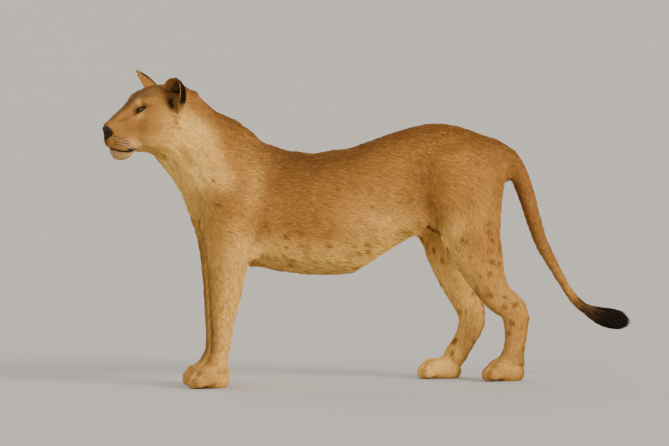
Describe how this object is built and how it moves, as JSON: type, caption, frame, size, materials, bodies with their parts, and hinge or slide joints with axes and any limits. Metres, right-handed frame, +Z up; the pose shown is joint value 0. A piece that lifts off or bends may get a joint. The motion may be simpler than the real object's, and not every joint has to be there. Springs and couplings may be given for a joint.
{
  "type": "lioness",
  "caption": "Life-size still model of a standing lioness, head turned slightly to its left, tail hanging out behind.",
  "frame": {"origin": "on the ground, under the middle of the animal's length and width", "axes": "+Z up, the animal faces -X, its left side faces -Y"},
  "size_m": [2.0134, 0.3432, 1.2059],
  "materials": {
    "coat": "short tawny fur",
    "pale_coat": "short cream fur",
    "tuft_hair": "black-brown hair",
    "nose_skin": "dark bare skin",
    "eye": "amber, polished"
  },
  "bodies": {
    "root": {"torso": "coat", "neck": "coat", "tail": "coat", "tail_tuft": "tuft_hair", "foreleg_left": "coat", "foreleg_right": "coat", "hindleg_left": "coat", "hindleg_right": "coat", "forepaw_left": "coat", "forepaw_right": "coat", "hindpaw_left": "coat", "hindpaw_right": "coat", "eye_left": "eye", "eye_right": "eye", "ear_left": "coat", "ear_right": "coat", "head": "coat", "lower_jaw": "pale_coat", "nose": "nose_skin"}
  },
  "joints": []
}
